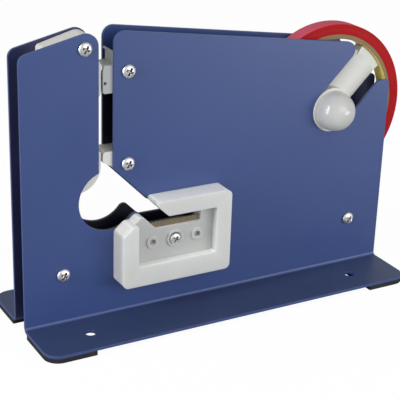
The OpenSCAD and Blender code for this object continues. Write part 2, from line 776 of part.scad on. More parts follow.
// Recess of the housing, open to the trimming slot
module housing_recess() {
    polygon(outline([
        [recess_left, recess_bottom_h, 1.5],
        [recess_right, recess_bottom_h, 1.5],
        [recess_right, recess_top, 1.5],
        [channel_top_sum - recess_top, recess_top, 0],
        [recess_left, channel_top_sum - recess_left, 0]
    ]));
}

// Slit of the trimming knife, open at the top of the recess's floor
module knife_slit() {
    polygon(place([
        [knife_left - pocket_gap, knife_low - pocket_gap], [trim_slot_end, knife_low - pocket_gap],
        [trim_slot_end, trim_tip_h + cut], [knife_left - pocket_gap, trim_tip_h + cut]
    ]));
}

module trimmer_housing() {
    color(nylon_white) difference() {
        union() {
            difference() {
                slab(housing_y, -outer_y) housing_outline();
                slab(housing_y - cut, floor_y) housing_recess();
            }
            for (p = trim_dowels) round_y(p, dowel_d / 2 + ring_w, floor_y - ring_t, floor_y);
            round_y(trim_screw, trim_head_d / 2 + ring_w, floor_y - ring_t, floor_y);
        }
        slab(knife_y - pocket_gap, knife_y + trim_knife_t + pocket_gap) knife_slit();
        for (p = trim_dowels) round_y(p, dowel_d / 2 + press_gap, housing_y, -outer_y + cut);
        round_y(trim_screw, trim_screw_d / 2 + free_gap, housing_y, -outer_y + cut);
        round_y(trim_screw, trim_head_d / 2 + 0.4, housing_y, floor_y);
    }
}

module trimmer_knife() {
    color(knife_steel) slab(knife_y, knife_y + trim_knife_t) polygon(place(concat(
        [[knife_left, knife_low], [knife_right, knife_low]],
        teeth(knife_right, knife_left, trim_tip_h),
        [[knife_left, knife_high]]
    )));
}

module trimmer_dowels() {
    color(zinc) for (p = trim_dowels) round_y(p, dowel_d / 2, floor_y + dowel_sink, -inner_y);
}

module trimmer_screw() {
    color(zinc) pan_screw(trim_screw, trim_screw_d, trim_head_d, trim_head_h, floor_y,
        -inner_y + trim_nut_t + 0.6 - floor_y);
}

module trimmer_nut() {
    color(zinc) hex_nut(trim_screw, trim_screw_d, trim_nut_flats, -inner_y, trim_nut_t);
}

// Section of the hub's bar, with a rounded front and back
module hub_bar_section() {
    intersection() {
        translate([hub_bar_round - hub_bar_t / 2, 0]) circle(r = hub_bar_round);
        translate([hub_bar_t / 2 - hub_bar_round, 0]) circle(r = hub_bar_round);
        square([hub_bar_t, hub_bar_w], center = true);
    }
}

// Hub with a bar across the core, an end pad at each end and a boss in each slot
module hub_bar() {
    color(nylon_white) difference() {
        union() {
            translate([along(roll.x), 0, up(roll.y)]) rotate([0, -hub_slot_angle, 0]) rotate([90, 0, 90])
                linear_extrude(height = 2 * (pad_r - hub_pad_t) + 1, center = true) hub_bar_section();
            translate([along(roll.x), hub_pad_w / 2, up(roll.y)]) rotate([90, 0, 0])
                linear_extrude(height = hub_pad_w) intersection() {
                    difference() {
                        circle(r = pad_r);
                        circle(r = pad_r - hub_pad_t);
                    }
                    rotate(hub_slot_angle) for (s = [1, -1]) polygon([
                        [0, 0], s * core_id * [cos(hub_pad_angle), -sin(hub_pad_angle)],
                        s * core_id * [cos(hub_pad_angle), sin(hub_pad_angle)]
                    ]);
                }
            round_y(roll, boss_r, -boss_front_y, outer_y + rear_boss_out);
        }
        round_y(roll, knob_stub_r + press_gap, -boss_front_y - cut, -boss_front_y + knob_stub_l);
    }
}

module hub_knob() {
    ball_y = -boss_front_y - knob_seat;
    color(nylon_white) translate([along(roll.x), -boss_front_y, up(roll.y)]) rotate([90, 0, 0])
        rotate_extrude($fn = 72) polygon(concat(
            [[0, -knob_stub_l], [knob_stub_r, -knob_stub_l], [knob_stub_r, 0], [knob_d / 2, 0]],
            [for (t = [0 : 7.5 : 90]) [knob_d / 2 * cos(t), knob_seat + knob_d / 2 * sin(t)]]
        ));
}

// Ring about the roll's axis
module roll_ring(r_out, r_in) {
    difference() {
        round_y(roll, r_out, -tape_w / 2, tape_w / 2);
        round_y(roll, r_in, -tape_w, tape_w);
    }
}

module tape_core() {
    color(kraft) roll_ring(core_id / 2 + core_wall, core_id / 2);
}

module tape_roll() {
    color(tape_red) roll_ring(roll_od / 2, core_id / 2 + core_wall + run_gap);
}

front_plate();
rear_plate();
foot_front_left();
foot_front_right();
foot_rear_left();
foot_rear_right();
frame_screws();
frame_nuts();
left_post();
right_post();
arm_sleeve();
press_arm();
arm_spring_pin();
arm_spring();
upper_guide();
lower_guide();
guide_dowels();
tape_knife();
guide_roller();
guide_roller_pin();
trimmer_housing();
trimmer_knife();
trimmer_dowels();
trimmer_screw();
trimmer_nut();
hub_bar();
hub_knob();
tape_core();
tape_roll();
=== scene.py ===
import math

import bmesh
import bpy
from mathutils import Matrix, Vector


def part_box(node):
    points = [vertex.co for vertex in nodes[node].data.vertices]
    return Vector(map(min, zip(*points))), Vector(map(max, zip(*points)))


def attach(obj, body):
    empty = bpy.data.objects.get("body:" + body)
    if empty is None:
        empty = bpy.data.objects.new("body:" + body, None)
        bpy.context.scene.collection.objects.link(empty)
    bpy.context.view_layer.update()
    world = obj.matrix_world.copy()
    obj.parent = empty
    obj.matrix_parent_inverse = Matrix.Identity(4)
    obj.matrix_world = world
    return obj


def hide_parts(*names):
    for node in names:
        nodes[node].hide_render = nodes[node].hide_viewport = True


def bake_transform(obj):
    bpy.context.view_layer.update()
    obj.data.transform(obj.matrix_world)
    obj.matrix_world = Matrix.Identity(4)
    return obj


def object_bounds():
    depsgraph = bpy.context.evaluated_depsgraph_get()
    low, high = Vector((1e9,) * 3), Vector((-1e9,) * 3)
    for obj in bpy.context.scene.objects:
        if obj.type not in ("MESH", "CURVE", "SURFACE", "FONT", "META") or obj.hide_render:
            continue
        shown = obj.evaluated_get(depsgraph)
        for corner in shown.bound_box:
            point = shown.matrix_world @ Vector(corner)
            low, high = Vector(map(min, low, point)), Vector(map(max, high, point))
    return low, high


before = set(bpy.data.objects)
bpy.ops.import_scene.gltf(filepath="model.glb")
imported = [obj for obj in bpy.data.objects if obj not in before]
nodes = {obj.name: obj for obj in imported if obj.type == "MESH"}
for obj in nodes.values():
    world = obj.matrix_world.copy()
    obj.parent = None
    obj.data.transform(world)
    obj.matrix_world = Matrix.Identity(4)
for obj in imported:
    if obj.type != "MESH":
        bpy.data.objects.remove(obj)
cad_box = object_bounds()

MM = 0.001
# Fall of the plates' top edge towards the right
TOP_FALL = math.tan(math.radians(8.1))
# The part of the plates that the neck's path crosses, in X and Z
NECK_X = (-68 * MM, -13 * MM)
NECK_Z = (46 * MM, 79 * MM)
# The screws' cross recess, in shares of the head's radius
CROSS_ARM, CROSS_WIDTH, CROSS_DEPTH = 0.6, 0.17, 0.5
# How far a picture ray sees the floor's own glow, and how strong that is
GLOW_SHARE, GLOW = 0.9, 1.06
FLOOR_GREY = 0.5


# ---------------------------------------------------------------- places taken from the frame

def centre(low, high):
    return (low + high) / 2


def loose_boxes(node):
    """Boxes of a node's separate solids, found by their outlines in X and Z, from left to right."""
    mesh = nodes[node].data
    parent = list(range(len(mesh.vertices)))

    def root(i):
        while parent[i] != i:
            parent[i] = parent[parent[i]]
            i = parent[i]
        return i

    for e in mesh.edges:
        parent[root(e.vertices[0])] = root(e.vertices[1])
    groups = {}
    for v in mesh.vertices:
        groups.setdefault(root(v.index), []).append(v.co)
    boxes = []
    for points in groups.values():
        low = Vector(map(min, *points))
        high = Vector(map(max, *points))
        for other in [b for b in boxes if touches(b, (low, high))]:
            boxes.remove(other)
            low = Vector(map(min, low, other[0]))
            high = Vector(map(max, high, other[1]))
        boxes.append((low, high))
    return sorted(boxes, key=lambda b: (b[0].x, b[0].z))


def touches(a, b):
    return all(a[0][i] < b[1][i] + MM and b[0][i] < a[1][i] + MM for i in (0, 2))


# ---------------------------------------------------------------- mesh tools

def new_piece(name, verts, faces, crease=35):
    mesh = bpy.data.meshes.new(name)
    mesh.from_pydata([tuple(v) for v in verts], [], faces)
    mesh.validate()
    mesh.shade_smooth()
    mesh.set_sharp_from_angle(angle=math.radians(crease))
    piece = bpy.data.objects.new(name, mesh)
    bpy.context.scene.collection.objects.link(piece)
    return piece


def lathe(name, profile, axis, segments=128, closed=True):
    """Turns a profile of (radius, y) about the line along Y through axis. A closed profile makes a ring."""
    verts = []
    for k in range(segments):
        t = math.tau * k / segments
        verts += [(axis.x + r * math.cos(t), y, axis.z + r * math.sin(t)) for r, y in profile]
    n = len(profile)
    faces = []
    for k in range(segments):
        a, b = k * n, (k + 1) % segments * n
        for i in range(n if closed else n - 1):
            j = (i + 1) % n
            faces.append((a + i, a + j, b + j, b + i))
    if not closed:
        faces.append(tuple(k * n for k in range(segments)))
        faces.append(tuple(k * n + n - 1 for k in reversed(range(segments))))
    return new_piece(name, verts, faces)


def arc(cx, cy, r, start, end, steps):
    """Points of an arc in (radius, y), with angles in degrees from +radius towards +y."""
    return [
        (cx + r * math.cos(math.radians(start + (end - start) * i / steps)),
         cy + r * math.sin(math.radians(start + (end - start) * i / steps)))
        for i in range(steps + 1)
    ]


def ring_profile(r_in, r_out, y0, y1, soft):
    """Rectangle with rounded corners, for a ring."""
    return (
        arc(r_out - soft, y1 - soft, soft, 0, 90, 4)
        + arc(r_in + soft, y1 - soft, soft, 90, 180, 4)
        + arc(r_in + soft, y0 + soft, soft, 180, 270, 4)
        + arc(r_out - soft, y0 + soft, soft, 270, 360, 4)
    )


# ---------------------------------------------------------------- materials

def tint(r, g, b):
    """A colour as seen on a screen, 0 to 255, as the linear colour that a shader takes."""
    return tuple(
        c / 255 / 12.92 if c / 255 <= 0.04045 else ((c / 255 + 0.055) / 1.055) ** 2.4
        for c in (r, g, b)
    ) + (1.0,)


class Look:
    """A node material in the object's own coordinates, in metres, built up layer by layer."""

    def __init__(self, name, colour, roughness, **sockets):
        self.mat = bpy.data.materials.new(name)
        self.mat.use_nodes = True
        self.tree = self.mat.node_tree
        self.bsdf = self.tree.nodes["Principled BSDF"]
        self.bsdf.inputs["Base Color"].default_value = colour
        self.bsdf.inputs["Roughness"].default_value = roughness
        for socket, value in sockets.items():
            self.bsdf.inputs[socket.replace("_", " ")].default_value = value
        self.base = colour
        self.colour = None
        self.normal = None
        self.place = self.node("TexCoord").outputs["Object"]
        self.facing = self.node("NewGeometry").outputs["Normal"]

    def node(self, kind, links=None, **settings):
        made = self.tree.nodes.new("ShaderNode" + kind)
        for key, value in settings.items():
            setattr(made, key, value)
        for socket, value in (links or {}).items():
            self.plug(value, made.inputs[socket])
        return made

    def plug(self, value, socket):
        """Links a node's output to a socket, or sets the socket to a plain value."""
        if hasattr(value, "links"):
            self.tree.links.new(value, socket)
        else:
            socket.default_value = value

    def math(self, operation, a, b=0.0, clamp=False):
        return self.node("Math", {0: a, 1: b}, operation=operation, use_clamp=clamp).outputs[0]

    def stretched(self, scale=(1, 1, 1), shift=(0, 0, 0)):
        links = {"Vector": self.place, "Scale": scale, "Location": shift}
        return self.node("Mapping", links).outputs["Vector"]

    def noise(self, scale, detail=3.0, vector=None, roughness=0.5):
        links = {"Vector": vector or self.place, "Scale": scale, "Detail": detail, "Roughness": roughness}
        return self.node("TexNoise", links).outputs["Fac"]

    def wave(self, scale, vector=None, direction="Y", kind="BANDS", warp=0.0):
        links = {"Vector": vector or self.place, "Scale": scale, "Distortion": warp, "Detail": 2.0}
        key = "bands_direction" if kind == "BANDS" else "rings_direction"
        return self.node("TexWave", links, wave_type=kind, **{key: direction}).outputs["Fac"]

    def remap(self, value, low, high, to_low=0.0, to_high=1.0):
        links = {"Value": value, "From Min": low, "From Max": high, "To Min": to_low, "To Max": to_high}
        return self.node("MapRange", links).outputs["Result"]

    def both(self, a, b):
        return self.math("MULTIPLY", a, b)

    def window(self, value, low, high, edge):
        """A factor that is 1 from low to high and fades out over an edge on either side."""
        return self.both(self.remap(value, low - edge, low), self.remap(value, high + edge, high))

    def split(self, vector):
        return self.node("SeparateXYZ", {0: vector}).outputs

    def radius(self, axis):
        """Distance from the line along Y through axis."""
        moved = self.split(self.stretched(shift=(-axis.x, 0, -axis.z)))
        square = self.math("ADD", self.both(moved["X"], moved["X"]), self.both(moved["Z"], moved["Z"]))
        return self.math("SQRT", square)

    def blend(self, colour, factor):
        """Lays a colour over the ones so far, by a factor."""
        below = self.colour or self.base
        mix = self.node("Mix", {0: factor, 6: below, 7: colour}, data_type="RGBA")
        self.colour = mix.outputs[2]
        self.tree.links.new(self.colour, self.bsdf.inputs["Base Color"])
        return self

    def rough(self, value, low, high):
        self.tree.links.new(self.remap(value, 0.3, 0.7, low, high), self.bsdf.inputs["Roughness"])
        return self

    def bump(self, height, depth, strength=1.0):
        """Raises the surface by depth metres where height is 1."""
        links = {"Height": height, "Distance": depth, "Strength": strength}
        if self.normal is not None:
            links["Normal"] = self.normal
        self.normal = self.node("Bump", links).outputs["Normal"]
        self.tree.links.new(self.normal, self.bsdf.inputs["Normal"])
        return self

    def coat(self, weight, roughness):
        self.bsdf.inputs["Coat Weight"].default_value = weight
        self.bsdf.inputs["Coat Roughness"].default_value = roughness
        return self

    def soften(self, radius):
        """Rounds the edges in the light by a radius."""
        self.normal = self.node("Bevel", {"Radius": radius}, samples=6).outputs["Normal"]
        self.tree.links.new(self.normal, self.bsdf.inputs["Normal"])
        return self

    def shade_in_recesses(self, reach):
        """An occlusion factor that is 1 deep in a recess and 0 on open faces, for painting shade."""
        shade = self.node("AmbientOcclusion", {"Distance": reach}, samples=8).outputs["AO"]
        return self.remap(shade, 0.8, 0.4)

    def edges(self, radius, gain=6.0):
        """A factor that is 1 along the edges and 0 on the flats."""
        round_normal = self.node("Bevel", {"Radius": radius}, samples=6).outputs["Normal"]
        dot = self.node("VectorMath", {0: round_normal, 1: self.facing}, operation="DOT_PRODUCT")
        away = self.math("SUBTRACT", 1.0, dot.outputs["Value"], clamp=True)
        return self.math("MULTIPLY", away, gain, clamp=True)

    def dress(self, *names):
        for name in names:
            slots = nodes[name].material_slots
            for s in slots:
                s.material = self.mat
            if not slots:
                nodes[name].data.materials.append(self.mat)
        return self


def powder_coat():
    """Blue powder coat, with painted shade: darker between the plates, nearly black in the neck's path, and
    darker on the flanges' tops.
    """
    plate_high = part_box("front_plate")[1]
    gap_face = plate_high.y
    look = Look("blue_powder_coat", tint(47, 71, 128), 0.42, IOR=1.48).coat(0.3, 0.4)
    look.soften(0.5 * MM)
    look.blend(tint(40, 62, 117), look.remap(look.noise(14, 2), 0.35, 0.65, 0, 0.3))
    look.blend(tint(63, 85, 138), look.remap(look.noise(700, 2), 0.55, 0.8, 0, 0.25))
    # Painted highlight: the edges are a lighter blue.
    look.blend(tint(78, 98, 148), look.both(look.edges(0.45 * MM), 0.25))
    at, facing = look.split(look.place), look.split(look.facing)
    inside = look.remap(look.math("ABSOLUTE", at["Y"]), -gap_face + 0.1 * MM, -gap_face + 0.05 * MM)
    below_top = look.remap(look.math("ADD", at["Z"], look.both(at["X"], TOP_FALL)),
                           plate_high.z - 20 * MM, plate_high.z - 32 * MM)
    # Painted shade on the faces between the plates: darker below the top edge, darker still left of the neck,
    # and nearly black below the top edge from the neck rightwards.
    look.blend(tint(36, 46, 100), look.both(inside, below_top))
    look.blend(tint(32, 38, 78), look.both(inside, look.remap(at["X"], NECK_X[0] + MM, NECK_X[0] - MM)))
    deep = look.both(look.remap(at["X"], NECK_X[0] - MM, NECK_X[0] + MM),
                     look.remap(at["X"], 30 * MM, 20 * MM))
    black_shade = tint(13, 17, 32)
    look.blend(black_shade, look.both(look.both(inside, deep), below_top))
    # Painted shade: the plates' cut edges in the neck's path are nearly black.
    cut_edge = look.remap(look.math("ABSOLUTE", facing["Y"]), 0.6, 0.4)
    in_path = look.both(look.window(at["X"], *NECK_X, MM), look.window(at["Z"], *NECK_Z, MM))
    look.blend(black_shade, look.both(cut_edge, in_path))
    # Painted shade: faces that look up near the bottom, the flanges' tops, are darker and greyer.
    low_top_shade = look.both(look.remap(facing["Z"], 0.7, 0.95, 0, 0.65), look.remap(at["Z"], 12 * MM, 6 * MM))
    look.blend(tint(46, 56, 80), low_top_shade)
    look.rough(look.noise(60, 3), 0.38, 0.47)
    look.bump(look.noise(1100, 2), 0.02 * MM, 0.5)
    look.bump(look.noise(160, 1), 0.03 * MM, 0.35)
    return look


def foot_rubber():
    look = Look("foot_rubber", tint(26, 26, 28), 0.85)
    look.soften(0.4 * MM)
    look.blend(tint(52, 52, 54), look.remap(look.noise(420, 4), 0.52, 0.75, 0, 0.6))
    look.blend(tint(70, 68, 64), look.both(look.edges(0.5 * MM), 0.4))
    look.rough(look.noise(90, 3), 0.72, 0.92)
    look.bump(look.wave(320, direction="Z"), 0.08 * MM, 0.6)
    look.bump(look.noise(1500, 3), 0.05 * MM, 0.7)
    return look


def zinc_plate():
    look = Look("zinc_plate", tint(240, 240, 242), 0.34, Metallic=1.0)
    look.soften(0.12 * MM)
    look.blend(tint(222, 222, 226), look.remap(look.noise(300, 3), 0.4, 0.7, 0, 0.5))
    look.blend(tint(240, 234, 214), look.remap(look.noise(180, 2), 0.55, 0.75, 0, 0.3))
    # Painted shade where the faces are hemmed in, as in the screws' cross recesses.
    look.blend(tint(64, 62, 54), look.shade_in_recesses(1.6 * MM))
    look.rough(look.noise(900, 3), 0.3, 0.42)
    look.bump(look.noise(2600, 3), 0.005 * MM, 0.4)
    return look


def turned_steel():
    look = Look("turned_steel", tint(176, 178, 182), 0.3, Metallic=1.0)
    look.soften(0.15 * MM)
    look.blend(tint(132, 134, 140), look.remap(look.noise(300, 3), 0.4, 0.7, 0, 0.7))
    look.rough(look.noise(600, 2), 0.24, 0.4)
    look.bump(look.wave(900, direction="Y", warp=0.4), 0.02 * MM, 0.5)
    return look


def spring_wire():
    look = Look("spring_wire", tint(168, 168, 170), 0.28, Metallic=1.0)
    look.blend(tint(118, 116, 118), look.remap(look.noise(700, 3), 0.42, 0.7, 0, 0.8))
    look.rough(look.noise(800, 3), 0.22, 0.42)
    look.bump(look.noise(3000, 2), 0.01 * MM, 0.6)
    return look


def ground_steel():
    look = Look("ground_knife_steel", tint(150, 136, 112), 0.34, Metallic=0.7)
    look.soften(0.06 * MM)
    grind = look.noise(1.0, 5, look.stretched(scale=(3200, 900, 160)))
    look.blend(tint(98, 90, 80), look.remap(grind, 0.42, 0.7, 0, 0.8))
    look.blend(tint(206, 200, 190), look.both(look.edges(0.14 * MM), 0.7))
    look.rough(grind, 0.26, 0.46)
    look.bump(grind, 0.02 * MM, 0.5)
    return look


def moulded(name, colour, shade, light, roughness, clear=0.05, depth=1.6 * MM):
    """White moulded plastic: slightly see-through, with a fine spark-eroded grain."""
    look = Look(name, colour, roughness, IOR=1.5)
    look.bsdf.inputs["Subsurface Weight"].default_value = clear
    look.bsdf.inputs["Subsurface Radius"].default_value = (1.0, 0.9, 0.8)
    look.bsdf.inputs["Subsurface Scale"].default_value = depth
    look.soften(0.45 * MM)
    look.blend(shade, look.remap(look.noise(45, 3), 0.4, 0.75, 0, 0.55))
    # Painted highlight: the edges are lighter.
    look.blend(light, look.both(look.edges(0.5 * MM), 0.5))
    look.rough(look.noise(240, 3), roughness - 0.05, roughness + 0.07)
    look.bump(look.noise(1900, 2), 0.015 * MM, 0.5)
    look.bump(look.noise(70, 1), 0.05 * MM, 0.3)
    return look


def roller_rubber():
    look = Look("roller_rubber", tint(34, 34, 37), 0.7)
    look.soften(0.3 * MM)
    look.blend(tint(64, 64, 66), look.remap(look.noise(600, 3), 0.5, 0.75, 0, 0.6))
    look.rough(look.noise(200, 3), 0.6, 0.8)
    look.bump(look.wave(420, direction="Y"), 0.1 * MM, 0.6)
    return look


# ---------------------------------------------------------------- fasteners

def cross_depth(u, v, arm, width, depth):
    """Depth of a tapered cross recess at a point of a screw's head."""
    along, across = max(abs(u), abs(v)), min(abs(u), abs(v))
    floor = depth * (1 - 0.55 * along / arm)
    wall = min(1.0, max(0.0, (width - across) / (0.3 * width)))
    end = min(1.0, max(0.0, (arm - along) / (0.16 * arm)))
    return floor * wall * end


def screw(name, box, shank_r, body, pitch, look):
    """Pan-head cross screw along Y, with threads on its tail. Its box gives the place."""
    low, high = box
    mid = centre(low, high)
    head_r = (high.x - low.x) / 2
    head_y = low.y + head_r * 0.7
    cross_turn = 0.5
    rings, segments = 34, 72
    verts = []
    for i in range(rings + 1):
        r = head_r * (i / rings) ** 0.8
        dome = (head_y - low.y) * (1 - math.sqrt(max(0.0, 1 - 0.78 * (r / head_r) ** 2.6)))
        for k in range(segments):
            t = math.tau * (k + 0.5) / segments
            u, v = r * math.cos(t + cross_turn), r * math.sin(t + cross_turn)
            cut = cross_depth(u, v, head_r * CROSS_ARM, head_r * CROSS_WIDTH, head_r * CROSS_DEPTH)
            verts.append((mid.x + r * math.cos(t), low.y + dome + cut, mid.z + r * math.sin(t)))
    for r, y in ((head_r, head_y), (shank_r, head_y)):
        verts += [
            (mid.x + r * math.cos(math.tau * (k + 0.5) / segments), y,
             mid.z + r * math.sin(math.tau * (k + 0.5) / segments))
            for k in range(segments)
        ]
    turns = 12
    steps = int((high.y - head_y) / pitch * turns)
    for i in range(steps + 1):
        y = head_y + (high.y - head_y) * i / steps
        fade = min(1.0, (steps - i) / (1.5 * turns)) * min(1.0, i / (3 * turns))
        for k in range(segments):
            phase = (y / pitch - (k + 0.5) / segments) % 1.0
            r = shank_r - 0.13 * pitch * 4 * fade * abs(phase - 0.5) - (0.12 * pitch if i == steps else 0)
            t = math.tau * (k + 0.5) / segments
            verts.append((mid.x + r * math.cos(t), y, mid.z + r * math.sin(t)))
    rows = len(verts) // segments
    faces = [
        (i * segments + k, i * segments + (k + 1) % segments,
         (i + 1) * segments + (k + 1) % segments, (i + 1) * segments + k)
        for i in range(1, rows - 1) for k in range(segments)
    ]
    faces.append(tuple(range(segments, 2 * segments))[::-1])
    faces.append(tuple(range((rows - 1) * segments, rows * segments)))
    piece = new_piece(name, verts, faces, crease=28)
    piece.data.materials.append(look.mat)
    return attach(piece, body)


def nut(name, box, bore_r, body, look):
    """Hexagon nut along Y with chamfered corners on both faces."""
    low, high = box
    mid = centre(low, high)
    flat = (high.z - low.z) / 2
    per_side = 10
    face_r = flat * 0.985
    outline = []
    for side in range(6):
        for i in range(per_side):
            t = math.radians(60 * side) + math.radians(60) * i / per_side
            reach = flat / math.cos(t - math.radians(60 * side + 30))
            outline.append((math.cos(t), math.sin(t), reach))
    verts = []
    for share, depth in ((0, 1), (0, 0), (1, 0), (1, 1)):
        for c, s, reach in outline:
            chamfer = max(0.0, reach - face_r) * 0.55
            r = reach if depth == 0 else min(reach, face_r)
            y = (low.y + chamfer * (1 - depth)) if share == 0 else (high.y - chamfer * (1 - depth))
            verts.append((mid.x + r * c, y, mid.z + r * s))
    for y in (high.y, low.y):
        verts += [(mid.x + bore_r * c, y, mid.z + bore_r * s) for c, s, reach in outline]
    n = len(outline)
    faces = [
        (a * n + k, a * n + (k + 1) % n, b * n + (k + 1) % n, b * n + k)
        for a, b in ((0, 1), (1, 2), (2, 3), (3, 4), (4, 5), (5, 0)) for k in range(n)
    ]
    piece = new_piece(name, verts, faces, crease=20)
    piece.data.materials.append(look.mat)
    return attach(piece, body)


# ---------------------------------------------------------------- the arm's spring

def spring_path(post, pin, coil_high):
    """The wire's route: a loop round the post, the coil, a loop round the pin."""
    wire_r = 0.45 * MM
    coil_r = 2.75 * MM
    turns = 20
    per_turn, loop_steps, lead_steps = 32, 56, 16
    sweep, low_end, high_start = 280, 60, -60
    post_mid, pin_mid = centre(*post), centre(*pin)
    low_r = (post[1].x - post[0].x) / 2 + wire_r + 0.2 * MM
    high_r = (pin[1].x - pin[0].x) / 2 + wire_r + 0.2 * MM
    coil_low = post_mid.z + low_r + 3 * MM
    pitch = (coil_high - coil_low) / (turns + 0.5)

    def loop(mid, r, start):
        return [
            Vector((mid.x + r * math.cos(math.radians(start + sweep * i / loop_steps)), 0,
                    mid.z + r * math.sin(math.radians(start + sweep * i / loop_steps))))
            for i in range(loop_steps + 1)
        ]

    def lead(a, a_way, b, b_way):
        points = []
        for i in range(1, lead_steps):
            s = i / lead_steps
            points.append(a * (1 - 3 * s * s + 2 * s ** 3) + a_way * (s - 2 * s * s + s ** 3)
                          + b * (3 * s * s - 2 * s ** 3) + b_way * (s ** 3 - s * s))
        return points

    def way(t):
        return Vector((-math.sin(math.radians(t)), 0, math.cos(math.radians(t)))) * 6 * MM

    coil = []
    for i in range((2 * turns + 1) * per_turn // 2 + 1):
        t = math.tau * i / per_turn
        coil.append(Vector((post_mid.x + coil_r * math.cos(t), coil_r * math.sin(t),
                            coil_low + pitch * i / per_turn)))
    low_loop = loop(post_mid, low_r, low_end - sweep)
    high_loop = loop(pin_mid, high_r, high_start)
    return (low_loop
            + lead(low_loop[-1], way(low_end), coil[0], Vector((0, 6, 1)) * MM)
            + coil
            + lead(coil[-1], Vector((0, -6, 1)) * MM, high_loop[0], way(high_start))
            + high_loop), wire_r


def tube(name, path, radius, sides=12):
    """A round tube along a path, with domed ends."""
    ways = [(path[min(i + 1, len(path) - 1)] - path[max(i - 1, 0)]).normalized() for i in range(len(path))]
    across = ways[0].cross(Vector((0, 1, 0.1))).normalized()
    verts = []
    for i, (point, along) in enumerate(zip(path, ways)):
        across = (across - along * across.dot(along)).normalized()
        up = along.cross(across)
        r = radius * (0.6 if i in (0, len(path) - 1) else 1.0)
        for k in range(sides):
            t = math.tau * k / sides
            verts.append(point + (across * math.cos(t) + up * math.sin(t)) * r)
    faces = [
        (i * sides + k, i * sides + (k + 1) % sides, (i + 1) * sides + (k + 1) % sides, (i + 1) * sides + k)
        for i in range(len(path) - 1) for k in range(sides)
    ]
    faces.append(tuple(reversed(range(sides))))
    faces.append(tuple(range((len(path) - 1) * sides, len(path) * sides)))
    return new_piece(name, verts, faces, crease=60)


# ---------------------------------------------------------------- plates, feet and small steel

powder_coat().dress("front_plate", "rear_plate")
foot_rubber().dress("foot_front_left", "foot_front_right", "foot_rear_left", "foot_rear_right")
turned_steel().dress("left_post", "right_post", "arm_sleeve", "arm_spring_pin",
                     "guide_dowels", "guide_roller_pin")
ground_steel().dress("tape_knife", "trimmer_knife")
zinc = zinc_plate().dress("frame_screws", "frame_nuts", "trimmer_screw", "trimmer_nut")

frame_screws = [
    screw(f"frame_screw_{i + 1}", box, 1.98 * MM, "frame", 0.7 * MM, zinc)
    for i, box in enumerate(loose_boxes("frame_screws"))
]
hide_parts("frame_screws")
frame_nuts = [
    nut(f"frame_nut_{i + 1}", box, 2.05 * MM, "frame", zinc)
    for i, box in enumerate(loose_boxes("frame_nuts"))
]
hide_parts("frame_nuts")
trimmer_screw = screw("trimmer_screw_detailed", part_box("trimmer_screw"), 1.48 * MM, "frame", 0.5 * MM, zinc)
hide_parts("trimmer_screw")
trimmer_nut = nut("trimmer_nut_detailed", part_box("trimmer_nut"), 1.55 * MM, "frame", zinc)
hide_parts("trimmer_nut")

coil_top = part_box("press_arm")[0].z - 2.5 * MM
route, wire = spring_path(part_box("left_post"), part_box("arm_spring_pin"), coil_top)
spring = tube("arm_spring_wire", route, wire)
spring.data.materials.append(spring_wire().mat)
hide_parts("arm_spring")
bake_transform(spring)


# ---------------------------------------------------------------- white plastic

moulded("moulded_nylon", tint(216, 216, 212), tint(202, 202, 198), tint(232, 232, 229), 0.42) \
    .dress("press_arm", "hub_bar")
# One white nylon for both guides: the upper guide's copy is darkened as painted shade, and the lower guide's
# is lightened as painted light.
moulded("guide_nylon_painted_shade", tint(184, 187, 186), tint(168, 171, 170), tint(206, 208, 207), 0.42) \
    .dress("upper_guide")
moulded("guide_nylon_painted_light", tint(232, 232, 228), tint(216, 216, 212), tint(240, 240, 237), 0.42) \
    .dress("lower_guide")


def housing_plastic():
    """The trimmer's plastic, with painted shade down in the recess and painted light on the faces that look
    up.
    """
    look = moulded("moulded_housing", tint(210, 212, 210), tint(198, 200, 199), tint(226, 227, 225), 0.46,
                   clear=0.5, depth=4 * MM)
    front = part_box("trimmer_housing")[0].y
    # Painted shade: the recess floor is greyer.
    recess = look.remap(look.split(look.place)["Y"], front + 1.5 * MM, front + 4 * MM, 0, 0.7)
    look.blend(tint(176, 177, 176), recess)
    # Painted light: the faces that look up are lighter.
    look.blend(tint(246, 247, 245), look.remap(look.split(look.facing)["Z"], 0.5, 0.9, 0, 0.85))
    return look


housing_look = housing_plastic().dress("trimmer_housing")
moulded("moulded_dowel", tint(176, 178, 180), tint(150, 152, 156), tint(205, 206, 208), 0.4) \
    .dress("trimmer_dowels")
knob_look = moulded("polished_knob", tint(194, 195, 193), tint(184, 185, 183), tint(220, 221, 218), 0.18) \
    .dress("hub_knob")
roller_rubber().dress("guide_roller")


def softened(name, node, radius, segments=6):
    """A copy of a rigid node whose edges round its front face are rounded."""
    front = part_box(node)[0].y
    bm = bmesh.new()
    bm.from_mesh(nodes[node].data)
    bmesh.ops.remove_doubles(bm, verts=bm.verts, dist=0.01 * MM)
    bmesh.ops.dissolve_limit(bm, angle_limit=math.radians(0.5), verts=bm.verts, edges=bm.edges)
    rim = [e for e in bm.edges if all(v.co.y < front + 0.05 * MM for v in e.verts)
           and e.is_manifold and e.calc_face_angle() > math.radians(40)]
    bmesh.ops.bevel(bm, geom=rim, offset=radius, segments=segments, profile=0.5, affect="EDGES",
                    clamp_overlap=True)
    mesh = bpy.data.meshes.new(name)
    bm.to_mesh(mesh)
    bm.free()
    stored = mesh.attributes.get("custom_normal")
    if stored:
        mesh.attributes.remove(stored)
    mesh.materials.clear()
    mesh.shade_smooth()
    mesh.set_sharp_from_angle(angle=math.radians(21))
    piece = bpy.data.objects.new(name, mesh)
    bpy.context.scene.collection.objects.link(piece)
    return piece


housing = softened("trimmer_housing_soft", "trimmer_housing", 2.4 * MM)
housing.data.materials.append(housing_look.mat)
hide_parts("trimmer_housing")
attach(housing, "frame")


# ---------------------------------------------------------------- knob, core and tape

roll_axis = centre(*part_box("tape_roll"))

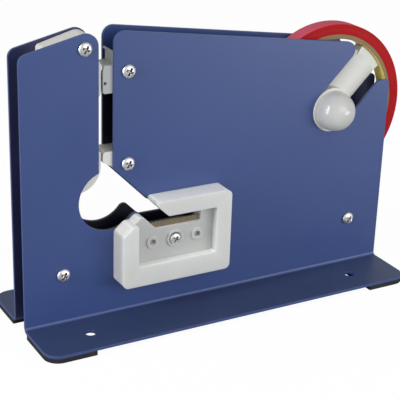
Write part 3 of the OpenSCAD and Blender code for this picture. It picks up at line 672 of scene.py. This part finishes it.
knob_low, knob_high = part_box("hub_knob")
knob_r = (knob_high.x - knob_low.x) / 2
knob_y = knob_low.y + knob_r
stub_r = 5 * MM
knob_edge = 0.5 * MM
seat_y = knob_high.y - 6 * MM
knob = lathe(
    "hub_knob_smooth",
    [(stub_r, knob_high.y), (stub_r, seat_y)]
    + [(knob_r - knob_edge, seat_y)]
    + arc(knob_r - knob_edge, seat_y - knob_edge, knob_edge, 90, 0, 5)
    + arc(0, knob_y, knob_r, 0, -88, 44),
    roll_axis, segments=128, closed=False)
knob.data.materials.append(knob_look.mat)
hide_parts("hub_knob")
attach(knob, "hub")

core_low, core_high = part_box("tape_core")
core_out = (core_high.x - core_low.x) / 2
core_in = core_out - 2.4 * MM


def core_card():
    look = Look("wound_core_card", tint(142, 120, 88), 0.8)
    fibre = look.noise(900, 5, roughness=0.65)
    look.blend(tint(128, 106, 74), look.remap(fibre, 0.45, 0.75, 0, 0.7))
    plies = look.wave(420, look.stretched(shift=(-roll_axis.x, 0, -roll_axis.z)), "Y", "RINGS", 0.3)
    look.blend(tint(112, 92, 64), look.remap(plies, 0.7, 1.0, 0, 0.6))
    liner = look.remap(look.radius(roll_axis), core_in + 0.12 * MM, core_in + 0.06 * MM)
    look.blend(tint(255, 236, 124), liner)
    look.blend(tint(236, 210, 92), look.both(liner, look.remap(look.noise(260, 4), 0.5, 0.75, 0, 0.5)))
    look.rough(fibre, 0.7, 0.88)
    look.bump(fibre, 0.05 * MM, 0.6)
    look.bump(plies, 0.05 * MM, 0.5)
    return look


core = lathe("tape_core_wound", ring_profile(core_in, core_out, core_low.y, core_high.y, 0.25 * MM),
             roll_axis, segments=160)
core.data.materials.append(core_card().mat)
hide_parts("tape_core")
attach(core, "roll")

roll_low, roll_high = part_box("tape_roll")
roll_out = (roll_high.x - roll_low.x) / 2
roll_in = core_out + 0.05 * MM


def tape_film():
    look = Look("red_tape_film", tint(170, 8, 16), 0.58, IOR=1.22).coat(0.04, 0.3)
    from_axis = look.stretched(shift=(-roll_axis.x, 0, -roll_axis.z))
    layers = look.wave(1500, from_axis, "Y", "RINGS", 0.2)
    side = look.remap(look.math("ABSOLUTE", look.split(look.facing)["Y"]), 0.6, 0.9)
    outer = look.math("SUBTRACT", 1.0, side)
    look.blend(tint(146, 10, 22), look.both(side, look.remap(layers, 0.4, 1.0, 0, 0.6)))
    look.blend(tint(206, 84, 104), outer)
    look.blend(tint(188, 62, 82), look.both(outer, look.remap(look.noise(36, 3), 0.45, 0.7, 0, 0.5)))
    look.rough(look.noise(120, 3), 0.5, 0.62)
    look.bump(layers, 0.02 * MM, 0.3)
    look.bump(look.noise(1.0, 2, look.stretched(scale=(60, 700, 60))), 0.04 * MM, 0.35)
    return look


def wound_side(start, end, y, out, steps=44):
    """One side of the roll from radius start to end, its layers a few hundredths out of line."""
    points = []
    for i in range(1, steps):
        r = start + (end - start) * i / steps
        wander = 0.5 + 0.3 * math.sin(1900 * r) + 0.2 * math.sin(5200 * r + 1)
        points.append((r, y - out * 0.09 * MM * wander))
    return points


tape_edge = 0.15 * MM
tape = lathe(
    "tape_roll_wound",
    arc(roll_out - tape_edge, roll_high.y - tape_edge, tape_edge, 0, 90, 3)
    + wound_side(roll_out - tape_edge, roll_in, roll_high.y, 1)
    + [(roll_in, roll_high.y), (roll_in, roll_low.y)]
    + wound_side(roll_in, roll_out - tape_edge, roll_low.y, -1)
    + arc(roll_out - tape_edge, roll_low.y + tape_edge, tape_edge, 270, 360, 3),
    roll_axis, segments=192)
tape.data.materials.append(tape_film().mat)
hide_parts("tape_roll")
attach(tape, "roll")


# ---------------------------------------------------------------- floor, lamps and camera

def studio_floor():
    """A pale floor that shows near white and keeps a soft shadow."""
    mat = bpy.data.materials.new("pale_floor")
    mat.use_nodes = True
    tree = mat.node_tree
    tree.nodes.clear()
    lit = tree.nodes.new("ShaderNodeBsdfDiffuse")
    lit.inputs["Color"].default_value = (FLOOR_GREY, FLOOR_GREY, FLOOR_GREY, 1)
    glow = tree.nodes.new("ShaderNodeEmission")
    glow.inputs["Color"].default_value = (1, 1, 1, 1)
    glow.inputs["Strength"].default_value = GLOW
    path = tree.nodes.new("ShaderNodeLightPath")
    share = tree.nodes.new("ShaderNodeMath")
    share.operation = "MULTIPLY"
    share.inputs[1].default_value = GLOW_SHARE
    mix = tree.nodes.new("ShaderNodeMixShader")
    out = tree.nodes.new("ShaderNodeOutputMaterial")
    tree.links.new(path.outputs["Is Camera Ray"], share.inputs[0])
    tree.links.new(share.outputs[0], mix.inputs[0])
    tree.links.new(lit.outputs[0], mix.inputs[1])
    tree.links.new(glow.outputs[0], mix.inputs[2])
    tree.links.new(mix.outputs[0], out.inputs["Surface"])
    mesh = bpy.data.meshes.new("floor")
    reach, level = 6.0, cad_box[0].z
    mesh.from_pydata(
        [(-reach, -reach, level), (reach, -reach, level), (reach, reach, level), (-reach, reach, level)],
        [], [(0, 1, 2, 3)])
    mesh.materials.append(mat)
    floor = bpy.data.objects.new("floor", mesh)
    bpy.context.scene.collection.objects.link(floor)


def studio_world(level):
    world = bpy.data.worlds.new("studio")
    bpy.context.scene.world = world
    world.use_nodes = True
    tree = world.node_tree
    sky = tree.nodes["Background"]
    sky.inputs["Color"].default_value = (1, 1, 1, 1)
    path = tree.nodes.new("ShaderNodeLightPath")
    seen = tree.nodes.new("ShaderNodeMath")
    seen.operation = "MAXIMUM"
    tree.links.new(path.outputs["Is Camera Ray"], seen.inputs[0])
    tree.links.new(path.outputs["Is Transmission Ray"], seen.inputs[1])
    strength = tree.nodes.new("ShaderNodeMapRange")
    strength.inputs["To Min"].default_value = level
    strength.inputs["To Max"].default_value = 1.0
    tree.links.new(seen.outputs[0], strength.inputs["Value"])
    tree.links.new(strength.outputs["Result"], sky.inputs["Strength"])


def softbox(name, place, target, width, height, power):
    data = bpy.data.lights.new(name, "AREA")
    data.shape = "RECTANGLE"
    data.size, data.size_y = width, height
    data.energy = power
    lamp = bpy.data.objects.new(name, data)
    lamp.location = place
    lamp.rotation_mode = "QUATERNION"
    lamp.rotation_quaternion = (Vector(target) - Vector(place)).to_track_quat("-Z", "Y")
    bpy.context.scene.collection.objects.link(lamp)


def photo_camera():
    """The camera that the photograph was taken with, fitted to the straight edges of both plates."""
    heading, pitch, roll = math.radians(29.727), math.radians(22.264), math.radians(1.901)
    ahead = Vector((math.sin(heading), math.cos(heading), 0)) * math.cos(pitch)
    look = ahead - Vector((0, 0, math.sin(pitch)))
    level = Vector((math.cos(heading), -math.sin(heading), 0))
    upright = level.cross(look)
    right = level * math.cos(roll) + upright * math.sin(roll)
    up = upright * math.cos(roll) - level * math.sin(roll)
    data = bpy.data.cameras.new("photo_camera")
    data.sensor_width = 36
    data.lens = 109.19
    data.clip_start, data.clip_end = 0.05, 50
    camera = bpy.data.objects.new("photo_camera", data)
    turn = Matrix((right, up, -look)).transposed().to_4x4()
    place = Vector((-0.29887, -0.51402, 0.29425))
    camera.matrix_world = Matrix.Translation(place) @ turn
    bpy.context.scene.collection.objects.link(camera)
    bpy.context.scene.camera = camera


studio_floor()
studio_world(0.46)
middle = centre(*cad_box)
softbox("front_box", (0.35, -1.25, 0.62), middle, 1.2, 0.8, 7.4)
softbox("low_right_card", (0.5, -0.55, 0.09), middle, 0.35, 0.16, 1.2)
softbox("left_window", (-0.84, -0.14, 0.3), middle, 0.16, 0.8, 5.8)
bpy.context.scene.view_settings.view_transform = "Standard"
photo_camera()
